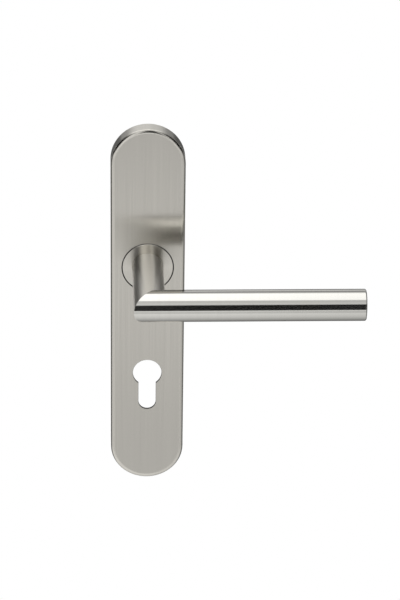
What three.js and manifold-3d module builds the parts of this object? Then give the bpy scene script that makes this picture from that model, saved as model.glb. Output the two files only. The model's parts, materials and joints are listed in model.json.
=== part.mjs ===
// Lever door handle on a long backplate with a euro-profile cylinder cut-out.
// Millimetres. +X to the right along the lever, +Y into the door, +Z up.
// The origin is where the spindle's axis meets the door's face. The lever is at rest, level.

import * as THREE from 'three';
import { mergeVertices } from 'three/addons/utils/BufferGeometryUtils.js';
import Module from 'manifold-3d';

const wasm = await Module();
wasm.setup();

// ---------------------------------------------------------------- driving dimensions

const PLATE_WIDTH = 45;
const PLATE_TOP = 90;
const PLATE_BOTTOM = -146;
const PLATE_DEPTH = 10;
const SHEET = 1.5;
const EDGE_ROUND = 1.2;

const CYLINDER_CENTRE = -72;
const CYLINDER_RADIUS = 8.9;
const SLOT_HALF_WIDTH = 5.37;
const SLOT_END_CENTRE = -91.9;

const DISC_RADIUS = 15.35;
const DISC_GROOVE = 0.5;

const TUBE_RADIUS = 9.5;
const TUBE_WALL = 1.8;
const GRIP_AXIS_Y = -64;
const GRIP_END_X = 128;

const SPINDLE = 8;
const SPINDLE_FRONT_Y = -27;
const SPINDLE_BACK_Y = 58;
const GRUB_SCREW_Y = -20;
const GRUB_SCREW_RADIUS = 2.45;

const SCREW_Z = [67.5, -123.5];
const SCREW_RADIUS = 2.45;
const SCREW_HEAD_RADIUS = 4.6;
const SCREW_HEAD_FRONT_Y = -7.9;
const SCREW_SEAT_Y = -5.2;
const SCREW_TIP_Y = 33;
const STUD_RADIUS = 4.2;
const STUD_FRONT_Y = -3;
const STUD_TIP_Y = 9;

// gaps between pieces
const SNUG = 0.05;
const RUNNING = 0.1;
const EASY = 0.3;

const HALF_WIDTH = PLATE_WIDTH / 2;
const FRONT_Y = -PLATE_DEPTH;
const SHEET_BACK_Y = FRONT_Y + SHEET;
const BORE_RADIUS = TUBE_RADIUS - TUBE_WALL;
const HUB_RADIUS = BORE_RADIUS - RUNNING;
const BEYOND = 1;

// spring housing, hub and bearing stack, front to back
const HOUSING_RADIUS = 19;
const HOUSING_BORE = 17.2;
const HOUSING_FRONT_Y = -7.7;
const HOUSING_WALL_Y = -6.3;
const GUIDE_RADIUS = 11.5;
const GUIDE_BACK_Y = -3.6;
const BUSH_RADIUS = 9.4;
const BUSH_FLANGE_RADIUS = 10.9;
const BUSH_BACK_Y = -2.8;
const DRIVER_FRONT_Y = -2.0;
const DRIVER_BACK_Y = -1.0;
const DRIVER_REACH = 16.4;
const DRIVER_FLAT = 6.6;
const RING_FRONT_Y = -0.85;
const RING_BACK_Y = -0.2;
const RING_GROOVE_RADIUS = 6.8;
const RING_RADIUS = 9.4;
const HUB_FRONT_Y = -38;
const HUB_BACK_Y = 0.6;
const HOUSING_COVER_RADIUS = 18.2;
const HOUSING_COVER_THICK = 0.8;
const HOUSING_SCREW_Z = 22.5;
const EAR_RADIUS = 3.6;

// base plate
const RIM_WALL = 1.8;
const RIM_FRONT_Y = -8.1;
const FLOOR_FRONT_Y = -2.5;
const RIB_WIDTH = 1.4;
const RIB_FRONT_Y = -6.5;
const BOSS_RADIUS = 8.5;

// return spring
const WIRE_RADIUS = 0.85;
const COIL_RADIUS = 13.4;
const COIL_TURNS = 1.25;
const COIL_FRONT_Y = -5.2;
const COIL_BACK_Y = -3.2;
const SPRING_LEG_REACH = 16.3;
const SPRING_LEG_ANGLE = 80.5;
const PIN_RADIUS = 1.1;
const PIN_CIRCLE = 15.6;
const PIN_ANGLE = 163;
const TAB_HALF_WIDTH = 1.7;

// how far the lever turns between its two stops
const LEVER_TRAVEL = 45;
const STOP_ARM_ANGLE = 270;
const STOP_ARM_HALF_WIDTH = 2.5;
const STOP_LUG_SPAN = 8;
const STOP_CLEARANCE = 1;

const CLIP_Z = [42, -46];
const CLIP_LENGTH = 7;

// ---------------------------------------------------------------- materials

const finish = (color, roughness, metalness) =>
  new THREE.MeshStandardMaterial({ color, roughness, metalness });

const STAINLESS = finish(0xaaa7a2, 0.34, 1);
const BRIGHT_STEEL = finish(0xb4b4b2, 0.3, 1);
const ZINC_STEEL = finish(0xa3a8ae, 0.42, 1);
const SPRING_STEEL = finish(0x8b8d8f, 0.38, 1);
const BLACK_STEEL = finish(0x33353a, 0.5, 1);
const NYLON = finish(0x26282b, 0.6, 0);
const ACETAL = finish(0xe9e7df, 0.45, 0);

// ---------------------------------------------------------------- solids and booleans

// A closed geometry as a boolean solid.
function solid(geometry) {
  const bare = geometry.clone();
  bare.deleteAttribute('normal');
  bare.deleteAttribute('uv');
  const merged = mergeVertices(bare, 1e-4);
  const vertProperties = new Float32Array(merged.attributes.position.array);
  const triVerts = new Uint32Array(merged.index.array);
  return new wasm.Manifold(new wasm.Mesh({ numProp: 3, vertProperties, triVerts }));
}

// A boolean solid as a geometry with flat-shaded normals.
function geometryOf(body) {
  const mesh = body.getMesh();
  const geometry = new THREE.BufferGeometry();
  geometry.setAttribute('position', new THREE.BufferAttribute(mesh.vertProperties, 3));
  geometry.setIndex(new THREE.BufferAttribute(mesh.triVerts, 1));
  geometry.computeVertexNormals();
  return geometry;
}

const joined = (bodies) => bodies.reduce((whole, next) => whole.add(next));
const cut = (body, tools) => tools.reduce((left, tool) => left.subtract(tool), body);

// An outline drawn in X and Z, as a prism from frontY back to backY.
function prism(outline, frontY, backY, curveSegments = 8) {
  const settings = { depth: backY - frontY, bevelEnabled: false, curveSegments };
  const geometry = new THREE.ExtrudeGeometry(outline, settings);
  geometry.rotateX(Math.PI / 2);
  geometry.translate(0, backY, 0);
  return solid(geometry);
}

// A profile of [radius, y] points turned about the Y axis.
function turned(profile, segments = 32) {
  const points = profile.map(([radius, y]) => new THREE.Vector2(radius, y));
  return solid(new THREE.LatheGeometry(points, segments));
}

const rod = (radius, frontY, backY, segments) =>
  turned([[0, frontY], [radius, frontY], [radius, backY], [0, backY]], segments);

const ring = (inner, outer, frontY, backY, segments) =>
  turned([[inner, frontY], [outer, frontY], [outer, backY], [inner, backY], [inner, frontY]], segments);

// A box between two corners.
function block(low, high) {
  const size = high.map((value, i) => value - low[i]);
  const geometry = new THREE.BoxGeometry(...size);
  geometry.translate(...low.map((value, i) => value + size[i] / 2));
  return solid(geometry);
}

const radians = (degrees) => THREE.MathUtils.degToRad(degrees);

// Turns a solid about the Y axis, counter-clockwise as seen from the front.
const aboutSpindle = (body, degrees) => body.rotate([0, -degrees, 0]);

// ---------------------------------------------------------------- outlines

// The plate's outline, a rectangle with full-round ends, drawn inset by a margin.
function plateOutline(inset) {
  const radius = HALF_WIDTH - inset;
  const outline = new THREE.Shape();
  outline.absarc(0, PLATE_TOP - HALF_WIDTH, radius, 0, Math.PI);
  outline.absarc(0, PLATE_BOTTOM + HALF_WIDTH, radius, Math.PI, 2 * Math.PI);
  outline.closePath();
  return outline;
}

// The euro profile: a circle with a round-ended slot below it.
function euroOutline() {
  const drop = Math.sqrt(CYLINDER_RADIUS ** 2 - SLOT_HALF_WIDTH ** 2);
  const corner = Math.atan2(-drop, SLOT_HALF_WIDTH);
  const outline = new THREE.Shape();
  outline.absarc(0, CYLINDER_CENTRE, CYLINDER_RADIUS, corner, Math.PI - corner);
  outline.absarc(0, SLOT_END_CENTRE, SLOT_HALF_WIDTH, Math.PI, 2 * Math.PI);
  outline.closePath();
  return outline;
}

function roundedRectangle(left, right, bottom, top, radius) {
  const outline = new THREE.Shape();
  outline.absarc(right - radius, top - radius, radius, 0, Math.PI / 2);
  outline.absarc(left + radius, top - radius, radius, Math.PI / 2, Math.PI);
  outline.absarc(left + radius, bottom + radius, radius, Math.PI, 1.5 * Math.PI);
  outline.absarc(right - radius, bottom + radius, radius, 1.5 * Math.PI, 2 * Math.PI);
  outline.closePath();
  return outline;
}

// The housing cover's outline: a round plate with an ear above and below, drawn grown by a margin.
function housingCoverOutline(grow) {
  const round = HOUSING_COVER_RADIUS + grow;
  const ear = EAR_RADIUS + grow;
  const side = Math.asin(ear / round);
  const outline = new THREE.Shape();
  outline.absarc(0, 0, round, -Math.PI / 2 + side, Math.PI / 2 - side);
  outline.absarc(0, HOUSING_SCREW_Z, ear, 0, Math.PI);
  outline.absarc(0, 0, round, Math.PI / 2 + side, 1.5 * Math.PI - side);
  outline.absarc(0, -HOUSING_SCREW_Z, ear, Math.PI, 2 * Math.PI);
  outline.closePath();
  return outline;
}

// ---------------------------------------------------------------- plate pieces

function coverPlate() {
  const settings = {
    depth: PLATE_DEPTH,
    bevelThickness: EDGE_ROUND,
    bevelSize: EDGE_ROUND,
    bevelOffset: -EDGE_ROUND,
    bevelSegments: 3,
    curveSegments: 20,
  };
  const pressed = new THREE.ExtrudeGeometry(plateOutline(0), settings);
  pressed.rotateX(Math.PI / 2);
  pressed.translate(0, EDGE_ROUND, 0);
  return geometryOf(cut(solid(pressed), [
    block([-HALF_WIDTH - 1, 0, PLATE_BOTTOM - 1], [HALF_WIDTH + 1, 9, PLATE_TOP + 1]),
    prism(plateOutline(SHEET), SHEET_BACK_Y, BEYOND, 12),
    rod(DISC_RADIUS + DISC_GROOVE, FRONT_Y - BEYOND, BEYOND, 48),
    prism(euroOutline(), FRONT_Y - BEYOND, BEYOND, 12),
  ]));
}

// Stiffening ribs across the base plate, between its rim and its bosses.
function baseRibs() {
  const half = RIB_WIDTH / 2;
  const withinRim = prism(plateOutline(SHEET + EASY + 0.5), RIB_FRONT_Y, 0);
  const across = [-112, -53, -38, 34, 50, 82].map((z) =>
    block([-19.5, RIB_FRONT_Y, z - half], [19.5, 0, z + half]).intersect(withinRim));
  const along = [[-53, -18], [18, 62], [-117, -112]].map(([bottom, top]) =>
    block([-half, RIB_FRONT_Y, bottom], [half, 0, top]));
  return joined([...across, ...along]);
}

function basePlate() {
  const outer = SHEET + EASY;
  const rim = prism(plateOutline(outer), RIM_FRONT_Y, 0).subtract(
    prism(plateOutline(outer + RIM_WALL), RIM_FRONT_Y - BEYOND, FLOOR_FRONT_Y));
  const housing = rod(HOUSING_RADIUS, HOUSING_FRONT_Y, 0);
  const ear = block([-EAR_RADIUS, RIB_FRONT_Y, 15], [EAR_RADIUS, 0, HOUSING_SCREW_Z]).add(
    rod(EAR_RADIUS, RIB_FRONT_Y, 0, 16).translate([0, 0, HOUSING_SCREW_Z]));
  const boss = rod(BOSS_RADIUS, SCREW_SEAT_Y, 0, 24);
  const body = joined([
    rim,
    housing,
    ear,
    ear.mirror([0, 0, 1]),
    ...SCREW_Z.map((z) => boss.translate([0, 0, z])),
    baseRibs(),
  ]);
  const screwHole = rod(SCREW_RADIUS + 0.25, SCREW_SEAT_Y - BEYOND, BEYOND, 16);
  const studSeat = rod(STUD_RADIUS + SNUG, STUD_FRONT_Y - SNUG, BEYOND, 24);
  const hollowed = cut(body, [
    ring(GUIDE_RADIUS, HOUSING_BORE, HOUSING_WALL_Y, BEYOND),
    rod(GUIDE_RADIUS + 1, GUIDE_BACK_Y, BEYOND),
    rod(BUSH_RADIUS + SNUG, HOUSING_FRONT_Y - BEYOND, BEYOND),
    prism(housingCoverOutline(0.15), -HOUSING_COVER_THICK - SNUG, BEYOND),
    prism(roundedRectangle(-13, 13, -106, -57, 3), RIM_FRONT_Y - BEYOND, BEYOND),
    ...SCREW_Z.map((z) => screwHole.add(studSeat).translate([0, 0, z])),
    ...[1, -1].map((side) => housingScrewHole().translate([0, 0, side * HOUSING_SCREW_Z])),
    anchorPin(PIN_RADIUS + SNUG, HOUSING_FRONT_Y - BEYOND),
    ...clipSeats(outer),
  ]);
  return geometryOf(hollowed.add(stopLugs()));
}

// Cuts in the rim, down to the floor, that the four cover clips stand in.
function clipSeats(rimOffset) {
  const half = CLIP_LENGTH / 2 + 0.4;
  const near = HALF_WIDTH - rimOffset - 3;
  return CLIP_Z.flatMap((z) => {
    const seat = block([near, RIM_FRONT_Y - BEYOND, z - half], [HALF_WIDTH, FLOOR_FRONT_Y, z + half]);
    return [seat, seat.mirror([1, 0, 0])];
  });
}

// Two lugs on the housing's wall that the driver's stop arm runs between.
function stopLugs() {
  const reach = THREE.MathUtils.radToDeg(Math.asin(STOP_ARM_HALF_WIDTH / DRIVER_REACH));
  const restLug = STOP_ARM_ANGLE + reach + STOP_CLEARANCE;
  const travelLug = STOP_ARM_ANGLE - LEVER_TRAVEL - reach - STOP_CLEARANCE - STOP_LUG_SPAN;
  return joined([restLug, travelLug].map((start) => {
    const outline = new THREE.Shape();
    outline.absarc(0, 0, HOUSING_BORE + 0.5, radians(start), radians(start + STOP_LUG_SPAN));
    outline.absarc(0, 0, 15, radians(start + STOP_LUG_SPAN), radians(start), true);
    outline.closePath();
    return prism(outline, HOUSING_WALL_Y - 0.2, -HOUSING_COVER_THICK - 0.1, 4);
  }));
}

// The countersunk hole for a housing screw, a little larger than the screw.
function housingScrewHole() {
  return turned([[0, -6], [1.3, -6], [1.3, -1.15], [2.45, 0], [2.45, BEYOND], [0, BEYOND]], 16);
}

function housingScrew() {
  const driveSlot = block([-3, -0.55, -0.3], [3, BEYOND, 0.3]);
  const screw = turned([[0, -5.6], [1.2, -5.6], [1.2, -1.2], [2.3, -0.1], [0, -0.1]], 16);
  return geometryOf(screw.subtract(driveSlot));
}

function housingCover() {
  const plate = prism(housingCoverOutline(0), -HOUSING_COVER_THICK, 0);
  return geometryOf(cut(plate, [
    rod(10.2, -2, BEYOND),
    ...[1, -1].map((side) => housingScrewHole().translate([0, 0, side * HOUSING_SCREW_Z])),
  ]));
}

function bearingBush() {
  return geometryOf(turned([
    [BORE_RADIUS, HOUSING_FRONT_Y],
    [BUSH_RADIUS, HOUSING_FRONT_Y],
    [BUSH_RADIUS, GUIDE_BACK_Y + SNUG],
    [BUSH_FLANGE_RADIUS, GUIDE_BACK_Y + SNUG],
    [BUSH_FLANGE_RADIUS, BUSH_BACK_Y],
    [BORE_RADIUS, BUSH_BACK_Y],
    [BORE_RADIUS, HOUSING_FRONT_Y],
  ]));
}

const thrustWasher = () => geometryOf(ring(BORE_RADIUS + 0.2, 14, -8.3, -7.85));

// The wire's path: fixed leg, a coil wound clockwise towards the back, moving leg.
function returnSpring() {
  const degreesPerPoint = 15;
  const count = (COIL_TURNS * 360) / degreesPerPoint;
  const start = SPRING_LEG_ANGLE + COIL_TURNS * 360;
  const at = (radius, degrees, y) =>
    new THREE.Vector3(radius * Math.cos(radians(degrees)), y, radius * Math.sin(radians(degrees)));
  const points = [at(SPRING_LEG_REACH, start + 1, COIL_FRONT_Y), at(15, start + 0.5, COIL_FRONT_Y)];
  for (let i = 0; i <= count; i++) {
    const y = THREE.MathUtils.lerp(COIL_FRONT_Y, COIL_BACK_Y, i / count);
    points.push(at(COIL_RADIUS, start - i * degreesPerPoint, y));
  }
  points.push(
    at(15, SPRING_LEG_ANGLE - 0.5, COIL_BACK_Y),
    at(SPRING_LEG_REACH, SPRING_LEG_ANGLE - 1, COIL_BACK_Y),
  );
  const section = new THREE.Shape();
  section.absarc(0, 0, WIRE_RADIUS, 0, 2 * Math.PI);
  const extrudePath = new THREE.CatmullRomCurve3(points, false, 'centripetal');
  const wire = new THREE.ExtrudeGeometry(section, { extrudePath, steps: 56, curveSegments: 4 });
  return geometryOf(solid(wire));
}

const anchorPin = (radius, frontY) =>
  aboutSpindle(rod(radius, frontY, -3.2, 16).translate([PIN_CIRCLE, 0, 0]), PIN_ANGLE);

const springAnchorPin = () => geometryOf(anchorPin(PIN_RADIUS, HOUSING_FRONT_Y + RUNNING));

const supportStud = () => geometryOf(ring(SCREW_RADIUS + 0.2, STUD_RADIUS, STUD_FRONT_Y, STUD_TIP_Y, 24));

function fixingScrew() {
  const underHeadY = SCREW_SEAT_Y - SNUG;
  const screw = turned([
    [0, SCREW_HEAD_FRONT_Y],
    [SCREW_HEAD_RADIUS - 1, SCREW_HEAD_FRONT_Y],
    [SCREW_HEAD_RADIUS, SCREW_HEAD_FRONT_Y + 0.8],
    [SCREW_HEAD_RADIUS, underHeadY],
    [SCREW_RADIUS, underHeadY],
    [SCREW_RADIUS, SCREW_TIP_Y - 1],
    [SCREW_RADIUS - 0.65, SCREW_TIP_Y],
    [0, SCREW_TIP_Y],
  ], 24);
  return geometryOf(screw.subtract(rod(1.75, SCREW_HEAD_FRONT_Y - BEYOND, -6, 6)));
}

// A leaf of spring steel standing on the base plate, bowed out to press on the cover's side wall.
function coverClip(side) {
  const wall = HALF_WIDTH - SHEET - 0.1;
  const thick = 0.45;
  const outline = new THREE.Shape();
  outline.moveTo(wall - 2.6, 2.6);
  outline.lineTo(wall - 0.9, 2.6);
  outline.quadraticCurveTo(wall + 0.8, 5.0, wall - 1.1, 7.6);
  outline.lineTo(wall - 1.1 - thick, 7.6);
  outline.quadraticCurveTo(wall + 0.3, 5.1, wall - 1.1, 2.6 + thick);
  outline.lineTo(wall - 2.6, 2.6 + thick);
  outline.closePath();
  const geometry = new THREE.ExtrudeGeometry(outline, {
    depth: CLIP_LENGTH,
    bevelEnabled: false,
    curveSegments: 6,
  });
  geometry.translate(0, 0, -CLIP_LENGTH / 2);
  geometry.rotateZ(Math.PI);
  if (side > 0) {
    geometry.rotateY(Math.PI);
  }
  return geometryOf(solid(geometry));
}

// ---------------------------------------------------------------- lever pieces

// Everything on one side of the 45 degree mitre plane through the corner of the two tubes' axes.
function mitreCutter(side) {
  const reach = 200;
  const half = block([-reach, -reach, -reach], [reach, SNUG, reach]);
  return half.rotate([0, 0, side > 0 ? 45 : 225]).translate([0, GRIP_AXIS_Y, 0]);
}

// Stands a solid made along Y on end, so that its front end points down through the neck.
const grubScrewAxis = (body) => body.rotate([90, 0, 0]).translate([0, GRUB_SCREW_Y, 0]);

function leverNeck() {
  const tube = ring(BORE_RADIUS, TUBE_RADIUS, GRIP_AXIS_Y - 15, FRONT_Y - SNUG, 48);
  return geometryOf(cut(tube, [mitreCutter(1), grubScrewAxis(rod(GRUB_SCREW_RADIUS + 0.25, -12, 0, 16))]));
}

// Turns a solid made along Y, front end first, to lie along the grip with its back end outwards.
const alongGrip = (body) => body.rotate([0, 0, -90]).translate([0, GRIP_AXIS_Y, 0]);

function leverGrip() {
  const tube = alongGrip(ring(BORE_RADIUS, TUBE_RADIUS, -15, GRIP_END_X - 1.5, 48));
  return geometryOf(tube.subtract(mitreCutter(-1)));
}

function gripEndCap() {
  const back = GRIP_END_X - 1.5 + SNUG;
  const round = 1;
  const edge = [0, 45, 90].map((degrees) => [
    TUBE_RADIUS - round + round * Math.cos(radians(degrees)),
    GRIP_END_X - round + round * Math.sin(radians(degrees)),
  ]);
  return geometryOf(alongGrip(turned([
    [0, back - 5],
    [HUB_RADIUS, back - 5],
    [HUB_RADIUS, back],
    [TUBE_RADIUS, back],
    ...edge,
    [0, GRIP_END_X],
  ], 48)));
}

const collarDisc = () => geometryOf(turned([
  [HUB_RADIUS + SNUG, FRONT_Y],
  [DISC_RADIUS - 0.2, FRONT_Y],
  [DISC_RADIUS, FRONT_Y + 0.2],
  [DISC_RADIUS, SHEET_BACK_Y],
  [HUB_RADIUS + SNUG, SHEET_BACK_Y],
  [HUB_RADIUS + SNUG, FRONT_Y],
], 48));

// Takes the two driving flats off a round bar.
const betweenFlats = (body, flat) =>
  body.intersect(block([-flat, -100, -100], [flat, 100, 100]));

function hubInsert() {
  const round = turned([
    [0, HUB_FRONT_Y],
    [HUB_RADIUS - 0.8, HUB_FRONT_Y],
    [HUB_RADIUS, HUB_FRONT_Y + 0.8],
    [HUB_RADIUS, DRIVER_FRONT_Y - RUNNING],
    [0, DRIVER_FRONT_Y - RUNNING],
  ]);
  const drive = betweenFlats(turned([
    [0, DRIVER_FRONT_Y - RUNNING - 0.5],
    [HUB_RADIUS, DRIVER_FRONT_Y - RUNNING - 0.5],
    [HUB_RADIUS, RING_FRONT_Y - SNUG],
    [RING_GROOVE_RADIUS - SNUG, RING_FRONT_Y - SNUG],
    [RING_GROOVE_RADIUS - SNUG, RING_BACK_Y + SNUG],
    [HUB_RADIUS, RING_BACK_Y + SNUG],
    [HUB_RADIUS, HUB_BACK_Y],
    [0, HUB_BACK_Y],
  ]), DRIVER_FLAT);
  const socket = SPINDLE / 2 + SNUG;
  return geometryOf(cut(round.add(drive), [
    block([-socket, SPINDLE_FRONT_Y - SNUG, -socket], [socket, BEYOND, socket]),
    grubScrewAxis(rod(GRUB_SCREW_RADIUS + 0.15, -12, 0, 16)),
  ]));
}

// Spans the hub's flats, pushes the spring with a tab above and meets the stops with an arm below.
function driverPlate() {
  const plate = joined([
    rod(10.6, DRIVER_FRONT_Y, DRIVER_BACK_Y),
    block([-TAB_HALF_WIDTH, DRIVER_FRONT_Y, 9], [TAB_HALF_WIDTH, DRIVER_BACK_Y, DRIVER_REACH]),
    block([-TAB_HALF_WIDTH, -4.1, 14.8], [TAB_HALF_WIDTH, DRIVER_BACK_Y, DRIVER_REACH]),
    block([-STOP_ARM_HALF_WIDTH, DRIVER_FRONT_Y, -DRIVER_REACH], [STOP_ARM_HALF_WIDTH, DRIVER_BACK_Y, -9]),
  ]);
  const hole = betweenFlats(rod(BORE_RADIUS, -5, BEYOND), DRIVER_FLAT + SNUG);
  return geometryOf(plate.subtract(hole));
}

// An open ring in the hub's groove.
function retainingRing() {
  const gap = radians(28);
  const outline = new THREE.Shape();
  outline.absarc(0, 0, RING_RADIUS, -Math.PI / 2 + gap, 1.5 * Math.PI - gap);
  outline.absarc(0, 0, RING_GROOVE_RADIUS, 1.5 * Math.PI - gap, -Math.PI / 2 + gap, true);
  outline.closePath();
  return geometryOf(prism(outline, RING_FRONT_Y, RING_BACK_Y, 14));
}

// A square bar with chamfered ends.
function squareSpindle() {
  const half = SPINDLE / 2;
  const chamfer = 0.8;
  const outline = new THREE.Shape();
  outline.moveTo(-half, -half);
  outline.lineTo(half, -half);
  outline.lineTo(half, half);
  outline.lineTo(-half, half);
  outline.closePath();
  const geometry = new THREE.ExtrudeGeometry(outline, {
    depth: SPINDLE_BACK_Y - SPINDLE_FRONT_Y - 2 * chamfer,
    bevelThickness: chamfer,
    bevelSize: chamfer,
    bevelOffset: -chamfer,
    bevelSegments: 1,
  });
  geometry.rotateX(Math.PI / 2);
  geometry.translate(0, SPINDLE_BACK_Y - chamfer, 0);
  return geometryOf(solid(geometry));
}

function spindleGrubScrew() {
  const tip = -SPINDLE / 2 - RUNNING;
  const head = -9;
  const screw = turned([
    [0, head],
    [GRUB_SCREW_RADIUS - 0.25, head],
    [GRUB_SCREW_RADIUS, head + 0.4],
    [GRUB_SCREW_RADIUS, tip - 0.5],
    [1.6, tip],
    [0, tip],
  ], 16);
  const socket = rod(1.45, head - BEYOND, head + 2.2, 6);
  return geometryOf(grubScrewAxis(screw.subtract(socket)));
}

// ---------------------------------------------------------------- assembly

function piece(name, geometry, material) {
  const mesh = new THREE.Mesh(geometry, material.clone());
  mesh.name = name;
  return mesh;
}

function placed(mesh, x, y, z) {
  mesh.position.set(x, y, z);
  return mesh;
}

const plate = new THREE.Group();
plate.add(
  piece('cover_plate', coverPlate(), STAINLESS),
  piece('base_plate', basePlate(), NYLON),
  piece('bearing_bush', bearingBush(), ACETAL),
  piece('thrust_washer', thrustWasher(), ACETAL),
  piece('return_spring', returnSpring(), SPRING_STEEL),
  piece('spring_anchor_pin', springAnchorPin(), ZINC_STEEL),
  piece('housing_cover', housingCover(), ZINC_STEEL),
);
['upper', 'lower'].forEach((place, i) => {
  plate.add(
    placed(piece(`housing_screw_${place}`, housingScrew(), ZINC_STEEL), 0, 0, [1, -1][i] * HOUSING_SCREW_Z),
    placed(piece(`support_stud_${place}`, supportStud(), ZINC_STEEL), 0, 0, SCREW_Z[i]),
    placed(piece(`fixing_screw_${place}`, fixingScrew(), ZINC_STEEL), 0, 0, SCREW_Z[i]),
  );
});
CLIP_Z.forEach((z, row) => {
  [-1, 1].forEach((side, column) => {
    const name = `cover_clip_${row * 2 + column + 1}`;
    plate.add(placed(piece(name, coverClip(side), SPRING_STEEL), 0, 0, z));
  });
});

const lever = new THREE.Group();
lever.add(
  piece('lever_neck', leverNeck(), STAINLESS),
  piece('lever_grip', leverGrip(), STAINLESS),
  piece('grip_end_cap', gripEndCap(), STAINLESS),
  piece('collar_disc', collarDisc(), STAINLESS),
  piece('hub_insert', hubInsert(), BRIGHT_STEEL),
  piece('driver_plate', driverPlate(), ZINC_STEEL),
  piece('retaining_ring', retainingRing(), SPRING_STEEL),
  piece('square_spindle', squareSpindle(), BRIGHT_STEEL),
  piece('spindle_grub_screw', spindleGrubScrew(), BLACK_STEEL),
);

const handle = new THREE.Group();
handle.add(plate, lever);

export default handle;
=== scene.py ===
"""Looks of a lever door handle on a long backplate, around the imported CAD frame. Blender 4.5, metres, +Z up.

The front of the plate faces -Y. The stainless pieces in view and most of the works behind the plate are
rebuilt with fine surfaces over their CAD nodes. What the housing and the cover hide keeps its CAD shape.
"""

import json
import math

import bmesh
import bpy
from mathutils import Matrix, Vector


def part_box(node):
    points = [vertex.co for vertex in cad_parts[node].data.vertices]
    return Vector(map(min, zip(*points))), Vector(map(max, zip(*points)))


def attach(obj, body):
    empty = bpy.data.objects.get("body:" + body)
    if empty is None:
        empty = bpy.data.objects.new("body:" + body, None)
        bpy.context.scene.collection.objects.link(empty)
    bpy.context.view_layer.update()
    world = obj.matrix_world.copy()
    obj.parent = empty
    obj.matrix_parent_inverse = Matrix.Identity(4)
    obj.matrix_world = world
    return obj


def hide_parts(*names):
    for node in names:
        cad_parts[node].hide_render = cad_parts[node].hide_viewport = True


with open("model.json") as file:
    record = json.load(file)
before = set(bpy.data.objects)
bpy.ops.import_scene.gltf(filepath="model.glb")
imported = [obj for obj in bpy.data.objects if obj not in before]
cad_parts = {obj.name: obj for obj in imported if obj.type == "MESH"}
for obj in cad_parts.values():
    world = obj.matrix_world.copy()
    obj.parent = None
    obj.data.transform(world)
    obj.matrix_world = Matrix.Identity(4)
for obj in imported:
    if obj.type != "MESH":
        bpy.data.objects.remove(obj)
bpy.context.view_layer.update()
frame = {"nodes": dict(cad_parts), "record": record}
nodes = frame["nodes"]
MM = 0.001

# ------------------------------------------------------------------ sizes, read from the frame

plate_low, plate_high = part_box("cover_plate")
disc_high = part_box("collar_disc")[1]
grip_low, grip_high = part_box("lever_grip")
cap_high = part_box("grip_end_cap")[1]
neck_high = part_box("lever_neck")[1]

mounts = {mount["name"]: mount["pos_m"] for mount in frame["record"]["mounts"]}

HALF_WIDTH = plate_high.x
FRONT_Y = plate_low.y
UPPER_ARC_Z = plate_high.z - HALF_WIDTH
LOWER_ARC_Z = plate_low.z + HALF_WIDTH
SHEET = 1.5 * MM
SHEET_BACK_Y = FRONT_Y + SHEET
ROUND_REACH = 2.4 * MM
ROUND_DEPTH = 0.9 * MM
PLATE_BREAK_EDGE = 0.12 * MM

DISC_RADIUS = disc_high.x
DISC_GROOVE = 0.5 * MM
DISC_HOLE_RADIUS = DISC_RADIUS + DISC_GROOVE
DISC_BORE = 7.65 * MM
DISC_BREAK_EDGE = 0.10 * MM
EURO_CENTRE_Z = mounts["cylinder_front_face"][2]
EURO_RADIUS = 8.9 * MM
EURO_SLOT_HALF = mounts["cylinder_slot_right"][0]
EURO_SLOT_END_Z = -91.9 * MM

TUBE_RADIUS = grip_high.z
TUBE_WALL = 1.8 * MM
TUBE_BORE = TUBE_RADIUS - TUBE_WALL
GRIP_AXIS_Y = grip_low.y + TUBE_RADIUS
GRIP_END_X = cap_high.x
GRIP_END_ROUND = 1.0 * MM
GRIP_END_WALL = 3 * MM
NECK_BASE_Y = neck_high.y
NECK_FOOT = 0.15 * MM
TUBE_SIDES = 144
MITRE_GAP = 0.03 * MM

# ------------------------------------------------------------------ sizes of the works, in millimetres


def extent(node):
    """A node's lowest and highest corners."""
    low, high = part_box(node)
    return low / MM, high / MM


def middle(node):
    low, high = extent(node)
    return (low + high) / 2


SNUG = 0.05
PAST = 1  # how far a cut runs past a face

# the moulded tray and its ribs
BASE_INSET = 1.8
BASE_RIM = 1.8
RIM_FRONT_Y = -8.1
FLOOR_FRONT_Y = -2.5
RIB_FRONT_Y = -6.5
RIB_BACK_Y = -1
RIB_HALF_WIDTH = 0.7
RIB_REACH = 21
CROSS_RIBS_Z = (-112, -53, -38, 34, 50, 82)
LONG_RIBS_Z = ((-53, -18), (18, 62), (-117, -112))
POCKET_FLOOR_Y = -1.3
POCKETS_Z = ((30, 56), (-53, -30))
POCKETS_X = ((-14.5, -1.2), (1.2, 14.5))
CYLINDER_WINDOW = (-13, 13, -106, -57)
EJECTOR_MARK_RADIUS = 1.6
EJECTOR_MARK_X = 16
EJECTOR_MARK_Y = -0.12
CLIP_Z = (42, -46)
CLIP_SEAT_X = (17.7, 23)
CLIP_SEAT_HALF_LENGTH = 3.9

# the spring housing; the driver's arm points down at rest and runs between two lugs, angles in degrees
HOUSING_RADIUS = 19
HOUSING_FRONT_Y = -7.7
HOUSING_WALL_Y = -6.3
HOUSING_BORE = 17.2
GUIDE_RADIUS = 11.5
GUIDE_BACK_Y = -3.6
BUSH_RADIUS = 9.4
SPRING_PIN_BORE = 1.15
SPRING_PIN_END_Y = -3.2
STOP_ARM_ANGLE = 270
STOP_ARM_HALF_WIDTH = 2.5
STOP_LUG_SPAN = 8
STOP_LUG_INNER = 15
STOP_CLEARANCE = 1
LEVER_TRAVEL = 45

# the screws and studs
BOSS_RADIUS = 8.5
BOSS_FRONT_Y = -5.2
STUD_SEAT_Y = -3.05
PLACES = ("upper", "lower")
SCREW_Z = [middle(f"fixing_screw_{place}").z for place in PLACES]
SCREW_SHANK = 2.3
SCREW_KEY = 1.75
THREAD_CREST = 2.45
THREAD_ROOT = 2.08
THREAD_PITCH = 0.8
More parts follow.
